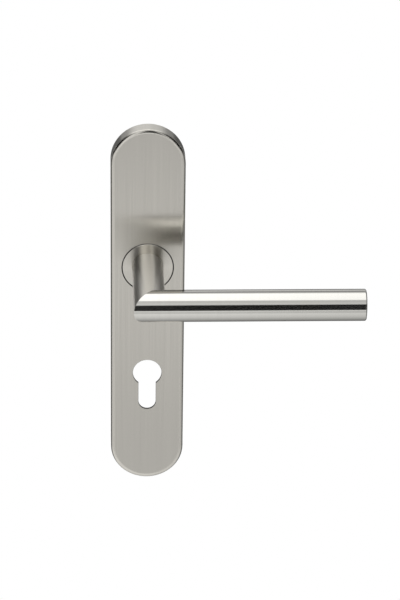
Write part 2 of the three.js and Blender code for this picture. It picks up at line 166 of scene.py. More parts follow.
# one pitch of the thread: how far along it, and the radius there
THREAD_PROFILE = ((0.0, THREAD_ROOT), (0.2, THREAD_ROOT), (0.5, THREAD_CREST), (0.7, THREAD_CREST))

# the housing's cover and its screws
HOUSING_COVER_SHEET = 0.8
HOUSING_COVER_RECESS_Y = -0.85
HOUSING_COVER_BORE = 10.2
HOUSING_COVER_RADIUS = extent("housing_cover")[1].x
HOUSING_SCREW_Z = middle("housing_screw_upper").z
HOUSING_SCREW_SHANK = 1.2
HOUSING_SCREW_HEAD = 2.3
HOUSING_SCREW_HOLE = 1.3
COUNTERSINK = 2.45
COUNTERSINK_Y = -1.2
EAR_RADIUS = extent("housing_cover")[1].z - HOUSING_SCREW_Z

# the hub, its ring and its grub screw
DRIVING_FLAT = 6.6
RING_GROOVE_RADIUS = 6.75
RING_INNER = 6.8
RING_OUTER = 9.4
RING_START = -62
RING_SPAN = 304
GRUB_SCREW_Y = middle("spindle_grub_screw").y
GRUB_SCREW_RADIUS = extent("spindle_grub_screw")[1].x
GRUB_SCREW_KEY = 1.45


# ------------------------------------------------------------------ mesh helpers


def solid(name, bm):
    """A closed bmesh as an object."""
    bmesh.ops.remove_doubles(bm, verts=bm.verts, dist=1e-7)
    bmesh.ops.recalc_face_normals(bm, faces=bm.faces)
    mesh = bpy.data.meshes.new(name)
    bm.to_mesh(mesh)
    bm.free()
    obj = bpy.data.objects.new(name, mesh)
    bpy.context.scene.collection.objects.link(obj)
    return obj


def shaded(obj, materials, sharp_degrees=30):
    """Smooth shading in which flat faces keep flat normals beside small rounds."""
    for material in materials:
        obj.data.materials.append(material)
    obj.data.shade_smooth()
    if sharp_degrees:
        obj.data.set_sharp_from_angle(angle=math.radians(sharp_degrees))
    weighted = obj.modifiers.new("flat_faces_stay_flat", "WEIGHTED_NORMAL")
    weighted.keep_sharp = True
    weighted.weight = 100
    return obj


def ring_of(bm, points):
    return [bm.verts.new(point) for point in points]


def strip(bm, first, second, material=0):
    """Quads between two closed rings of equal count."""
    count = len(first)
    for i in range(count):
        j = (i + 1) % count
        face = bm.faces.new((first[i], first[j], second[j], second[i]))
        face.material_index = material


def edges_of(bm, ring):
    found = []
    for i, vert in enumerate(ring):
        following = ring[(i + 1) % len(ring)]
        edge = bm.edges.get((vert, following)) or bm.edges.new((vert, following))
        found.append(edge)
    return found


def fill_between(bm, rings, material=0):
    """Fills the flat region inside the first ring and outside the others."""
    edges = [edge for ring in rings for edge in edges_of(bm, ring)]
    made = bmesh.ops.triangle_fill(bm, use_beauty=True, edges=edges)
    for element in made["geom"]:
        if isinstance(element, bmesh.types.BMFace):
            element.material_index = material


def arc(cx, cz, radius, start, end, count):
    """Points (x, z) on an arc, angles in degrees, both ends included."""
    points = []
    for i in range(count + 1):
        angle = math.radians(start + (end - start) * i / count)
        points.append((cx + radius * math.cos(angle), cz + radius * math.sin(angle)))
    return points


def at_y(outline, y):
    return [Vector((x, y, z)) for x, z in outline]


def circle(radius, count=128):
    return arc(0, 0, radius, 0, 360 - 360 / count, count - 1)


def stadium(inset, count=72):
    radius = HALF_WIDTH - inset
    return arc(0, UPPER_ARC_Z, radius, 0, 180, count) + arc(0, LOWER_ARC_Z, radius, 180, 360, count)


def euro_profile(grow, round_count=72, slot_count=36):
    radius = EURO_RADIUS + grow
    half = EURO_SLOT_HALF + grow
    corner = math.degrees(math.asin(half / radius))
    barrel = arc(0, EURO_CENTRE_Z, radius, -90 + corner, 270 - corner, round_count)
    slot = arc(0, EURO_SLOT_END_Z, half, 180, 360, slot_count)
    return barrel + slot


def round_profile(reach, depth, count=5):
    """(inset, drop) pairs of a quarter ellipse from the side wall to the front face."""
    steps = [math.pi / 2 * i / count for i in range(count + 1)]
    return [(reach * (1 - math.cos(a)), depth * (1 - math.sin(a))) for a in steps]


# ------------------------------------------------------------------ materials


def new_material(name):
    material = bpy.data.materials.new(name)
    material.use_nodes = True
    tree = material.node_tree
    shader = tree.nodes["Principled BSDF"]
    return material, tree, shader


def grain_noise(tree, scale, detail=3.0, roughness=0.55, where=None):
    """Noise stretched by a scale for each axis, 1 / metres, in object space or the place given."""
    where = where or tree.nodes.new("ShaderNodeTexCoord").outputs["Object"]
    mapping = tree.nodes.new("ShaderNodeMapping")
    mapping.inputs["Scale"].default_value = scale
    noise = tree.nodes.new("ShaderNodeTexNoise")
    noise.inputs["Scale"].default_value = 1.0
    noise.inputs["Detail"].default_value = detail
    noise.inputs["Roughness"].default_value = roughness
    tree.links.new(where, mapping.inputs["Vector"])
    tree.links.new(mapping.outputs["Vector"], noise.inputs["Vector"])
    return noise.outputs["Fac"]


def mapped(tree, value, low, high):
    node = tree.nodes.new("ShaderNodeMapRange")
    node.inputs["From Min"].default_value = 0.3
    node.inputs["From Max"].default_value = 0.7
    node.inputs["To Min"].default_value = low
    node.inputs["To Max"].default_value = high
    tree.links.new(value, node.inputs["Value"])
    return node.outputs["Result"]


def tinted(tree, value, dark, light):
    node = tree.nodes.new("ShaderNodeMix")
    node.data_type = "RGBA"
    node.inputs["A"].default_value = (*dark, 1)
    node.inputs["B"].default_value = (*light, 1)
    tree.links.new(value, node.inputs["Factor"])
    return node.outputs["Result"]


def turned_place(tree):
    """A point's distance from the Y axis, as a vector along X, and the direction outwards."""
    place = tree.nodes.new("ShaderNodeTexCoord")
    flat = tree.nodes.new("ShaderNodeVectorMath")
    flat.operation = "MULTIPLY"
    flat.inputs[1].default_value = (1, 0, 1)
    tree.links.new(place.outputs["Object"], flat.inputs[0])
    outward = tree.nodes.new("ShaderNodeVectorMath")
    outward.operation = "NORMALIZE"
    tree.links.new(flat.outputs["Vector"], outward.inputs[0])
    radius = tree.nodes.new("ShaderNodeVectorMath")
    radius.operation = "LENGTH"
    tree.links.new(flat.outputs["Vector"], radius.inputs[0])
    both = tree.nodes.new("ShaderNodeCombineXYZ")
    tree.links.new(radius.outputs["Value"], both.inputs["X"])
    return both.outputs["Vector"], outward.outputs["Vector"]


def brushed_steel(name, across, color, roughness, blur=1.0, streak=0.03, relief=0.5):
    """Steel ground in fine parallel scratches; across is the axis they lie side by side on.

    The scratches smear reflections along that axis and leave them sharp along the scratches.
    Without an axis they are rings about Y, as on a face turned on a lathe.
    """
    material, tree, shader = new_material(name)
    shader.inputs["Metallic"].default_value = 1.0
    shader.inputs["Anisotropic"].default_value = blur
    where, outward = (None, None) if across else turned_place(tree)
    fine = tuple(2600.0 if step else 14.0 for step in across or X)
    broad = tuple(420.0 if step else 5.0 for step in across or X)
    fine_noise = grain_noise(tree, fine, where=where)
    broad_noise = grain_noise(tree, broad, detail=2.0, where=where)
    both = tree.nodes.new("ShaderNodeMix")
    both.inputs["Factor"].default_value = 0.4
    tree.links.new(fine_noise, both.inputs["A"])
    tree.links.new(broad_noise, both.inputs["B"])
    mixed = both.outputs["Result"]
    dark = tuple(channel * (1 - streak) for channel in color)
    light = tuple(channel * (1 + streak) for channel in color)
    tree.links.new(tinted(tree, mapped(tree, mixed, 0, 1), dark, light), shader.inputs["Base Color"])
    rough = mapped(tree, mixed, roughness * 1.08, roughness * 0.92)
    tree.links.new(rough, shader.inputs["Roughness"])
    bump = tree.nodes.new("ShaderNodeBump")
    bump.inputs["Strength"].default_value = relief
    bump.inputs["Distance"].default_value = 1e-6
    tree.links.new(fine_noise, bump.inputs["Height"])
    tree.links.new(bump.outputs["Normal"], shader.inputs["Normal"])
    if blur:
        turn = tree.nodes.new("ShaderNodeVectorTransform")
        turn.vector_type = "VECTOR"
        turn.convert_from = "OBJECT"
        turn.convert_to = "WORLD"
        if across:
            turn.inputs["Vector"].default_value = across
        else:
            tree.links.new(outward, turn.inputs["Vector"])
        tree.links.new(turn.outputs["Vector"], shader.inputs["Tangent"])
    return material


def mottled(name, dark, light, roughness, metallic, fine, broad, relief):
    """A plated, oiled or moulded finish: broad uneven tints and a fine grain.

    Both scales are 1 / metres and the relief is in metres.
    """
    material, tree, shader = new_material(name)
    shader.inputs["Metallic"].default_value = metallic
    patches = grain_noise(tree, (broad, broad, broad), detail=4.0)
    grain = grain_noise(tree, (fine, fine, fine), detail=2.0)
    tree.links.new(tinted(tree, mapped(tree, patches, 0, 1), dark, light), shader.inputs["Base Color"])
    tree.links.new(mapped(tree, grain, roughness * 0.85, roughness * 1.15), shader.inputs["Roughness"])
    bump = tree.nodes.new("ShaderNodeBump")
    bump.inputs["Strength"].default_value = 0.6
    bump.inputs["Distance"].default_value = relief
    tree.links.new(grain, bump.inputs["Height"])
    tree.links.new(bump.outputs["Normal"], shader.inputs["Normal"])
    return material


def scaled(color, share):
    return tuple(channel * share for channel in color)


X, Y, Z = (1, 0, 0), (0, 1, 0), (0, 0, 1)
STAINLESS = (0.62, 0.599, 0.550)
TUBE_STAINLESS = (0.62, 0.612, 0.578)
BRIGHT = (0.60, 0.60, 0.595)

plate_steel = brushed_steel("satin_stainless_plate", X, STAINLESS, 0.22)
edge_steel = brushed_steel("satin_stainless_edge", X, STAINLESS, 0.16, blur=0.0)
# the neck is the plate's steel made 1.2 times lighter: painted light that brightens its reflections
lit_neck_steel = brushed_steel("satin_stainless_neck_painted_light", Y, scaled(STAINLESS, 1.2), 0.30)
grip_steel = brushed_steel("satin_stainless_grip", X, TUBE_STAINLESS, 0.10, blur=0.0)
cap_steel = brushed_steel("satin_stainless_cap", Y, TUBE_STAINLESS, 0.25)
disc_steel = brushed_steel("satin_stainless_disc", None, STAINLESS, 0.16)
# stainless at a sixth of the plate's brightness: painted shade for the walls of the holes, the disc's rim and
# bore, the inside of the sheet and the hidden CAD stainless pieces
painted_shade_steel = brushed_steel("satin_stainless_painted_shade", X, scaled(STAINLESS, 0.16), 0.5, blur=0.0)

bright_steel = brushed_steel("bright_steel", (1, 0, 1), BRIGHT, 0.26, blur=0.0, streak=0.08)
zinc_plate = mottled("zinc_plated_steel", (0.42, 0.45, 0.48), (0.58, 0.61, 0.64), 0.34, 1.0, 4000, 260, 2e-6)
spring_steel = mottled("spring_steel", (0.20, 0.20, 0.205), (0.33, 0.325, 0.32), 0.32, 1.0, 3000, 400, 1e-6)
black_steel = mottled("black_steel", (0.020, 0.020, 0.023), (0.055, 0.055, 0.060), 0.42, 0.5, 3500, 500, 3e-6)
nylon = mottled("black_nylon", (0.014, 0.0145, 0.016), (0.033, 0.034, 0.036), 0.52, 0.0, 2200, 120, 2e-5)
acetal = mottled("white_acetal", (0.74, 0.73, 0.68), (0.84, 0.83, 0.78), 0.40, 0.0, 1500, 90, 4e-6)

MATERIAL_OF = {
    # the hidden CAD stainless pieces take the darkened steel of painted shade
    "satin_stainless": painted_shade_steel,
    "bright_steel": bright_steel,
    "zinc_plated_steel": zinc_plate,
    "spring_steel": spring_steel,
    "black_steel": black_steel,
    "black_nylon": nylon,
    "white_acetal": acetal,
}


# ------------------------------------------------------------------ solids of the works, in millimetres


def skinned(rings_of_points, hollow=False):
    """A solid through rings of points.

    Its ends are closed, or where hollow is set the last ring is joined to the first.
    """
    bm = bmesh.new()
    rings = [ring_of(bm, [point * MM for point in points]) for points in rings_of_points]
    for first, second in zip(rings, rings[1:]):
        strip(bm, first, second)
    if hollow:
        strip(bm, rings[-1], rings[0])
    else:
        bm.faces.new(rings[0])
        bm.faces.new(rings[-1])
    return solid("solid", bm)


def prism(outline, front, back):
    return skinned([at_y(outline, front), at_y(outline, back)])


def turned(profile, hollow=False, count=96):
    """A profile of (radius, y) turned about the Y axis."""
    return skinned([at_y(circle(radius, count), y) for radius, y in profile], hollow)


def rod(radius, front, back, count=96):
    return turned([(radius, front), (radius, back)], count=count)


def block(low, high):
    corners = [(low[0], low[2]), (high[0], low[2]), (high[0], high[2]), (low[0], high[2])]
    return prism(corners, low[1], high[1])


def moved(obj, x=0.0, y=0.0, z=0.0):
    obj.data.transform(Matrix.Translation(Vector((x, y, z)) * MM))
    return obj


def downwards(obj):
    """Stands a solid made along Y on end at the grub screw's place, its front end down."""
    obj.data.transform(Matrix.Rotation(math.pi / 2, 4, "X"))
    return moved(obj, y=GRUB_SCREW_Y)


def combined(base, operation, *tools):
    """The base joined with the tools (UNION), cut by them (DIFFERENCE) or where all meet (INTERSECT)."""
    for tool in tools:
        modifier = base.modifiers.new("combine", "BOOLEAN")
        modifier.solver = "MANIFOLD"
        modifier.operation = operation
        modifier.object = tool
    bpy.context.view_layer.update()
    shape = base.evaluated_get(bpy.context.evaluated_depsgraph_get())
    mesh = bpy.data.meshes.new_from_object(shape)
    mesh.materials.clear()
    base.modifiers.clear()
    base.data = mesh
    for tool in tools:
        bpy.data.objects.remove(tool)
    return base


def finished(name, obj, material, edge=0.1):
    """Names a solid, gives it its material and rounds its edges off."""
    obj.name = obj.data.name = name
    bm = bmesh.new()
    bm.from_mesh(obj.data)
    bmesh.ops.dissolve_limit(bm, angle_limit=math.radians(1), verts=bm.verts, edges=bm.edges)
    bm.to_mesh(obj.data)
    bm.free()
    if edge:
        bevel = obj.modifiers.new("edge_round", "BEVEL")
        bevel.width = edge * MM
        bevel.segments = 2
        bevel.limit_method = "ANGLE"
        bevel.angle_limit = math.radians(35)
    return shaded(obj, [material], 0 if edge else 30)


def rounded_rectangle(left, right, bottom, top, radius, count=10):
    corners = (
        (right, top, 0, -1, -1),
        (left, top, 90, 1, -1),
        (left, bottom, 180, 1, 1),
        (right, bottom, 270, -1, 1),
    )
    outline = []
    for x, z, start, inwards, upwards in corners:
        outline += arc(x + inwards * radius, z + upwards * radius, radius, start, start + 90, count)
    return outline


def plate_outline(inset):
    return [(x / MM, z / MM) for x, z in stadium(inset * MM)]


def housing_cover_outline(grow, count=24):
    """A round plate with an ear above and below."""
    reach = HOUSING_COVER_RADIUS + grow
    ear = EAR_RADIUS + grow
    side = math.degrees(math.asin(ear / reach))
    return (
        arc(0, 0, reach, -90 + side, 90 - side, 2 * count)
        + arc(0, HOUSING_SCREW_Z, ear, 0, 180, count)
        + arc(0, 0, reach, 90 + side, 270 - side, 2 * count)
        + arc(0, -HOUSING_SCREW_Z, ear, 180, 360, count)
    )


# ------------------------------------------------------------------ the plate and its disc


def cover_plate():
    """A pressed shell with a rounded front edge, the round hole of the disc and the euro cut-out."""
    bm = bmesh.new()
    edge_round = round_profile(ROUND_REACH, ROUND_DEPTH, 9)
    profile = [(0.0, 0.0)] + [(inset, FRONT_Y + drop) for inset, drop in edge_round]
    outer = [ring_of(bm, at_y(stadium(inset), y)) for inset, y in profile]
    inner = [ring_of(bm, at_y(stadium(SHEET), y)) for y in (0.0, SHEET_BACK_Y)]
    hole_rows = (
        (PLATE_BREAK_EDGE, FRONT_Y),
        (0, FRONT_Y + PLATE_BREAK_EDGE),
        (0, SHEET_BACK_Y),
    )
    disc_hole = [ring_of(bm, at_y(circle(DISC_HOLE_RADIUS + grow), y)) for grow, y in hole_rows]
    euro_hole = [ring_of(bm, at_y(euro_profile(grow), y)) for grow, y in hole_rows]
    # material 2, on the hole walls and the inside of the sheet, is the darkened steel of painted shade
    for rings, material in ((outer, 1), (inner, 2), (disc_hole, 2), (euro_hole, 2)):
        for first, second in zip(rings, rings[1:]):
            strip(bm, first, second, material)
    strip(bm, outer[0], inner[0], material=1)
    fill_between(bm, [outer[-1], disc_hole[0], euro_hole[0]], material=0)
    fill_between(bm, [inner[-1], disc_hole[-1], euro_hole[-1]], material=0)
    return shaded(solid("cover_plate_satin", bm), [plate_steel, edge_steel, painted_shade_steel])


def collar_disc():
    bm = bmesh.new()
    outer = [
        ring_of(bm, at_y(circle(radius), y))
        for radius, y in (
            (DISC_RADIUS, SHEET_BACK_Y),
            (DISC_RADIUS, FRONT_Y + DISC_BREAK_EDGE),
            (DISC_RADIUS - DISC_BREAK_EDGE, FRONT_Y),
        )
    ]
    inner = [ring_of(bm, at_y(circle(DISC_BORE), y)) for y in (FRONT_Y, SHEET_BACK_Y)]
    # material 2, on the disc's rim, bore and back, is the darkened steel of painted shade
    strip(bm, outer[0], outer[1], material=2)
    strip(bm, outer[1], outer[2], material=1)
    strip(bm, outer[-1], inner[0], material=0)
    strip(bm, inner[0], inner[1], material=2)
    strip(bm, inner[1], outer[0], material=2)
    return shaded(solid("collar_disc_satin", bm), [disc_steel, edge_steel, painted_shade_steel])


# ------------------------------------------------------------------ the lever


def tube_ring(bm, radius, along):
    """A ring round the neck's axis; along gives y for each x."""
    return ring_of(bm, [Vector((x, along(x), z)) for x, z in circle(radius, TUBE_SIDES)])


def lever_neck():
    bm = bmesh.new()

    def mitre(x):
        return GRIP_AXIS_Y + x + MITRE_GAP

    rings = [
        tube_ring(bm, TUBE_BORE, lambda x: NECK_BASE_Y),
        tube_ring(bm, TUBE_RADIUS - NECK_FOOT, lambda x: NECK_BASE_Y),
        tube_ring(bm, TUBE_RADIUS, lambda x: NECK_BASE_Y - NECK_FOOT),
        tube_ring(bm, TUBE_RADIUS, mitre),
        tube_ring(bm, TUBE_BORE, mitre),
    ]
    for first, second in zip(rings, rings[1:] + rings[:1]):
        strip(bm, first, second)
    neck = solid("lever_neck_satin", bm)
    hole = downwards(rod(GRUB_SCREW_RADIUS + 0.25, -12, 0, 48))
    return shaded(combined(neck, "DIFFERENCE", hole), [lit_neck_steel])


def lever_grip():
    """The grip's tube with its end closed, welded and ground flush."""
    bm = bmesh.new()

    def ring(radius, along):
        points = []
        for across, z in circle(radius, TUBE_SIDES):
            points.append(Vector((along(across), GRIP_AXIS_Y + across, z)))
        return ring_of(bm, points)

    def mitre(across):
        return across + MITRE_GAP

    rounds = [
        ring(TUBE_RADIUS - inset, lambda across, drop=drop: GRIP_END_X - drop)
        for inset, drop in round_profile(GRIP_END_ROUND, GRIP_END_ROUND)
    ]
    inside_end = GRIP_END_X - GRIP_END_WALL
    outer = [ring(TUBE_BORE, mitre), ring(TUBE_RADIUS, mitre)] + rounds
    for first, second in zip(outer, outer[1:]):
        strip(bm, first, second)
    bore_end = ring(TUBE_BORE, lambda across: inside_end)
    strip(bm, outer[0], bore_end)
    for ring_points, material in ((outer[-1], 1), (bore_end, 0)):
        face = bm.faces.new(ring_points)
        face.material_index = material
    return shaded(solid("lever_grip_satin", bm), [grip_steel, cap_steel])


# ------------------------------------------------------------------ the works behind the plate


def ring_piece(start, span, inner, outer):
    """The outline of a piece of a ring, angles in degrees."""
    return arc(0, 0, outer, start, start + span, 12) + arc(0, 0, inner, start + span, start, 12)


def stop_lugs():
    """The two lugs on the housing's wall that stop the driver's arm, at rest and at full travel."""
    arm_reach = -extent("driver_plate")[0].z
    beside = math.degrees(math.asin(STOP_ARM_HALF_WIDTH / arm_reach)) + STOP_CLEARANCE
    starts = (STOP_ARM_ANGLE + beside, STOP_ARM_ANGLE - LEVER_TRAVEL - beside - STOP_LUG_SPAN)
    lugs = []
    for start in starts:
        outline = ring_piece(start, STOP_LUG_SPAN, STOP_LUG_INNER, HOUSING_BORE + 0.5)
        lugs.append(prism(outline, HOUSING_WALL_Y - 0.2, -0.9))
    return lugs


def base_ribs():
    """The ribs across and along the tray, kept inside its rim."""
    ribs = [
        block((-RIB_REACH, RIB_FRONT_Y, z - RIB_HALF_WIDTH), (RIB_REACH, RIB_BACK_Y, z + RIB_HALF_WIDTH))
        for z in CROSS_RIBS_Z
    ]
    ribs += [
        block((-RIB_HALF_WIDTH, RIB_FRONT_Y, bottom), (RIB_HALF_WIDTH, RIB_BACK_Y, top))
        for bottom, top in LONG_RIBS_Z
    ]
    within = prism(plate_outline(BASE_INSET + 0.5), RIB_FRONT_Y - 1, 0)
    return combined(combined(ribs[0], "UNION", *ribs[1:]), "INTERSECT", within)


def housing_ears():
    """The two ears of the housing, which hold the cover's screws."""
    ears = []
    for side in (1, -1):
        ears.append(moved(rod(EAR_RADIUS, RIB_FRONT_Y, 0), z=side * HOUSING_SCREW_Z))
        bottom, top = sorted((side * 15, side * HOUSING_SCREW_Z))
        ears.append(block((-EAR_RADIUS, RIB_FRONT_Y, bottom), (EAR_RADIUS, 0, top)))
    return ears


def base_cuts():
    """What is cut from the tray: the spring's groove, bores, pockets, screw holes and clip seats."""
    spring_groove = [
        (GUIDE_RADIUS, HOUSING_WALL_Y),
        (HOUSING_BORE, HOUSING_WALL_Y),
        (HOUSING_BORE, PAST),
        (GUIDE_RADIUS, PAST),
    ]
    cuts = [
        turned(spring_groove, hollow=True),
        rod(GUIDE_RADIUS + 1, GUIDE_BACK_Y, PAST),
        rod(BUSH_RADIUS + SNUG, HOUSING_FRONT_Y - PAST, PAST),
        prism(housing_cover_outline(0.15), HOUSING_COVER_RECESS_Y, PAST),
        prism(rounded_rectangle(*CYLINDER_WINDOW, radius=3), RIM_FRONT_Y - PAST, PAST),
    ]
    for bottom, top in POCKETS_Z:
        for left, right in POCKETS_X:
            cuts.append(prism(rounded_rectangle(left, right, bottom, top, 2), POCKET_FLOOR_Y, PAST))
    for z in SCREW_Z:
        cuts.append(moved(rod(THREAD_CREST + 0.25, BOSS_FRONT_Y - PAST, PAST, 48), z=z))
        cuts.append(moved(rod(extent("support_stud_upper")[1].x + SNUG, STUD_SEAT_Y, PAST), z=z))
        for x in (-EJECTOR_MARK_X, EJECTOR_MARK_X):
            cuts.append(moved(rod(EJECTOR_MARK_RADIUS, EJECTOR_MARK_Y, PAST, 32), x=x, z=z))
    for side in (1, -1):
        cuts.append(moved(rod(HOUSING_SCREW_HOLE, -6, PAST, 32), z=side * HOUSING_SCREW_Z))
        for z in CLIP_Z:
            near, far = sorted(side * x for x in CLIP_SEAT_X)
            bottom, top = z - CLIP_SEAT_HALF_LENGTH, z + CLIP_SEAT_HALF_LENGTH
            cuts.append(block((near, RIM_FRONT_Y - PAST, bottom), (far, FLOOR_FRONT_Y, top)))
    pin = middle("spring_anchor_pin")
    cuts.append(moved(rod(SPRING_PIN_BORE, HOUSING_FRONT_Y - PAST, SPRING_PIN_END_Y, 32), x=pin.x, z=pin.z))
    return cuts


def base_plate():
    """The moulded tray: rim, ribs, screw bosses and spring housing, cored out at the back."""
    tray = prism(plate_outline(BASE_INSET), RIM_FRONT_Y, 0)
    inside_rim = prism(plate_outline(BASE_INSET + BASE_RIM), RIM_FRONT_Y - PAST, FLOOR_FRONT_Y)
    tray = combined(tray, "DIFFERENCE", inside_rim)
    ribs = base_ribs()
    ears = housing_ears()
    bosses = [moved(rod(BOSS_RADIUS, BOSS_FRONT_Y, 0), z=z) for z in SCREW_Z]
    housing = rod(HOUSING_RADIUS, HOUSING_FRONT_Y, 0, 144)
    tray = combined(tray, "UNION", housing, ribs, *ears, *bosses)
    tray = combined(tray, "DIFFERENCE", *base_cuts())
    return finished("base_plate_moulded", combined(tray, "UNION", *stop_lugs()), nylon, 0.15)


def housing_cover():
    plate = prism(housing_cover_outline(0), -HOUSING_COVER_SHEET, 0)
    holes = [rod(HOUSING_COVER_BORE, -2, PAST)]
    for side in (1, -1):
        hole = turned([(HOUSING_SCREW_HOLE, COUNTERSINK_Y), (COUNTERSINK, 0), (COUNTERSINK, PAST)], count=48)
        holes.append(moved(hole, z=side * HOUSING_SCREW_Z))
    return finished("housing_cover_pressed", combined(plate, "DIFFERENCE", *holes), zinc_plate, 0.12)


def housing_screw(place, z):
    """Countersunk, with a slot."""
    shank = HOUSING_SCREW_SHANK
    screw = turned([(shank, -5.6), (shank, COUNTERSINK_Y), (HOUSING_SCREW_HEAD, -0.1)], count=64)
    slot = block((-3, -0.55, -0.3), (3, PAST, 0.3))
    screw = combined(screw, "DIFFERENCE", slot)
    return moved(finished(f"housing_screw_{place}_slotted", screw, zinc_plate, 0.05), z=z)


def retaining_ring():
    low, high = extent("retaining_ring")
    outline = ring_piece(RING_START, RING_SPAN, RING_INNER, RING_OUTER)
    return finished("retaining_ring_open", prism(outline, low.y, high.y), spring_steel, 0.08)


def hub_insert():
    """A turned plug with a square socket; its back end has two flats and a groove for the ring."""
    low, high = extent("hub_insert")
    radius = high.z
    plug = turned([(radius - 0.8, low.y), (radius, low.y + 0.8), (radius, -2.1), (radius - 0.5, -2.1)])
    end = turned([
        (radius, -2.6),
        (radius, -0.9),
        (RING_GROOVE_RADIUS, -0.9),
        (RING_GROOVE_RADIUS, -0.15),
        (radius, -0.15),
        (radius, high.y),
    ])
    end = combined(end, "INTERSECT", block((-DRIVING_FLAT, -5, -9), (DRIVING_FLAT, 5, 9)))
    half = extent("square_spindle")[1].x + SNUG
    front = extent("square_spindle")[0].y - SNUG
    plug = combined(plug, "UNION", end)
    socket = block((-half, front, -half), (half, 2, half))
    grub_hole = downwards(rod(GRUB_SCREW_RADIUS + 0.15, -12, 0, 48))
    plug = combined(plug, "DIFFERENCE", socket, grub_hole)
    return finished("hub_insert_turned", plug, bright_steel, 0.12)


def square_spindle():
    low, high = extent("square_spindle")
    chamfer = 0.8

    def square(shrink, y):
        half = high.x - shrink
        return at_y([(-half, -half), (half, -half), (half, half), (-half, half)], y)

    bar = skinned([
        square(chamfer, low.y),
        square(0, low.y + chamfer),
        square(0, high.y - chamfer),
        square(chamfer, high.y),
    ])
    return finished("square_spindle_drawn", bar, bright_steel, 0.3)


def threaded_rod(front, back, count=24):
    """A helical ridge, run out to the root at both ends. The rows climb one pitch for each turn."""
    profile = THREAD_PROFILE
    turns = math.ceil((back - front) / THREAD_PITCH) + 2
    bm = bmesh.new()
    columns = []
    for i in range(count):
        angle = 2 * math.pi * i / count
        column = []
        for n in range(turns * len(profile)):
            share, radius = profile[n % len(profile)]
            y = front + THREAD_PITCH * (n // len(profile) + share + i / count - 1)
            y = min(max(y, front), back)
            radius = min(radius, THREAD_ROOT - 0.4 + min(y - front, back - y))
            point = Vector((radius * math.cos(angle), y, radius * math.sin(angle)))
            column.append(bm.verts.new(point * MM))
        columns.append(column)
    for i, column in enumerate(columns):
        last = i == count - 1
        following = columns[0][len(profile):] if last else columns[i + 1]
        for n in range(len(following) - 1):
            bm.faces.new((column[n], following[n], following[n + 1], column[n + 1]))
    bmesh.ops.remove_doubles(bm, verts=bm.verts, dist=1e-7)
    bmesh.ops.delete(bm, geom=[vert for vert in bm.verts if not vert.link_faces], context="VERTS")
    bmesh.ops.holes_fill(bm, edges=[edge for edge in bm.edges if edge.is_boundary], sides=0)
    return solid("thread", bm)


def fixing_screw(place, z):
    """A hexagon socket screw, threaded where it leaves its stud."""
    low, high = extent(f"fixing_screw_{place}")
    head = high.x
    start = extent(f"support_stud_{place}")[1].y - 3
    seat = BOSS_FRONT_Y - SNUG
    profile = [
        (head - 1, low.y),
        (head, low.y + 0.8),
        (head, seat),
        (SCREW_SHANK, seat),
        (SCREW_SHANK, start),
    ]
    screw = turned(profile, count=64)
    socket = prism(circle(SCREW_KEY, 6), low.y - PAST, -6)
    screw = combined(screw, "DIFFERENCE", socket)
    screw = combined(screw, "UNION", threaded_rod(start - 1, high.y))
    return moved(finished(f"fixing_screw_{place}_threaded", screw, zinc_plate, 0), z=z)


def support_stud(place, z):
    low, high = extent(f"support_stud_{place}")
    bore = THREAD_CREST + 0.2
    tube = turned([(bore, low.y), (high.x, low.y), (high.x, high.y), (bore, high.y)], True, 64)
    return moved(finished(f"support_stud_{place}_turned", tube, zinc_plate, 0.3), z=z)


def grub_screw():
    """A hexagon socket screw that stands in the neck's underside."""
    low, high = extent("spindle_grub_screw")
    radius = GRUB_SCREW_RADIUS
    profile = [(radius - 0.25, low.z), (radius, low.z + 0.4), (radius, high.z - 0.5), (1.6, high.z)]
    socket = prism(circle(GRUB_SCREW_KEY, 6), low.z - PAST, low.z + 2.2)
    screw = combined(turned(profile, count=48), "DIFFERENCE", socket)
    return downwards(finished("spindle_grub_screw_black", screw, black_steel, 0.06))


# ------------------------------------------------------------------ pieces on their bodies


def placed(piece, body, slot, *stands_for):
    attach(piece, body)
    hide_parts(*stands_for)


placed(cover_plate(), "backplate", "satin_stainless", "cover_plate")
placed(collar_disc(), "lever", "satin_stainless", "collar_disc")
placed(lever_neck(), "lever", "satin_stainless", "lever_neck")
placed(lever_grip(), "lever", "satin_stainless", "lever_grip", "grip_end_cap")
placed(base_plate(), "backplate", "black_nylon", "base_plate")
placed(housing_cover(), "backplate", "zinc_plated_steel", "housing_cover")
placed(retaining_ring(), "lever", "spring_steel", "retaining_ring")
placed(hub_insert(), "lever", "bright_steel", "hub_insert")
placed(square_spindle(), "lever", "bright_steel", "square_spindle")
placed(grub_screw(), "lever", "black_steel", "spindle_grub_screw")
for place, screw_z, side in zip(PLACES, SCREW_Z, (1, -1)):
    screw = housing_screw(place, side * HOUSING_SCREW_Z)
    placed(screw, "backplate", "zinc_plated_steel", f"housing_screw_{place}")
    placed(fixing_screw(place, screw_z), "backplate", "zinc_plated_steel", f"fixing_screw_{place}")
    placed(support_stud(place, screw_z), "backplate", "zinc_plated_steel", f"support_stud_{place}")

# every CAD node gets its slot's material; the hidden ones that no piece replaces keep their CAD shapes
for row in frame["record"]["subparts"]:
    for cad_slot in nodes[row["node"]].material_slots:
        cad_slot.material = MATERIAL_OF[row["material_slot"]]

# ------------------------------------------------------------------ camera

target = Vector((32.6, 0, -26.9)) * MM
azimuth, elevation, roll = (math.radians(a) for a in (-2.69, 25.56, 0.85))
distance = 1.598
back = Vector((
    math.sin(azimuth) * math.cos(elevation),
    -math.cos(azimuth) * math.cos(elevation),
    math.sin(elevation),
))
level_right = (-back).cross(Vector(Z)).normalized()
level_up = level_right.cross(-back)
right = level_right * math.cos(roll) + level_up * math.sin(roll)
up = level_up * math.cos(roll) - level_right * math.sin(roll)
camera_data = bpy.data.cameras.new("camera")
camera_data.lens = 155.38
camera_data.sensor_width = 36
camera_data.clip_end = 50
camera = bpy.data.objects.new("camera", camera_data)
turn = Matrix((right, up, back)).transposed().to_4x4()
camera.matrix_world = Matrix.Translation(target + back * distance) @ turn
bpy.context.scene.collection.objects.link(camera)
bpy.context.scene.camera = camera

# ------------------------------------------------------------------ studio

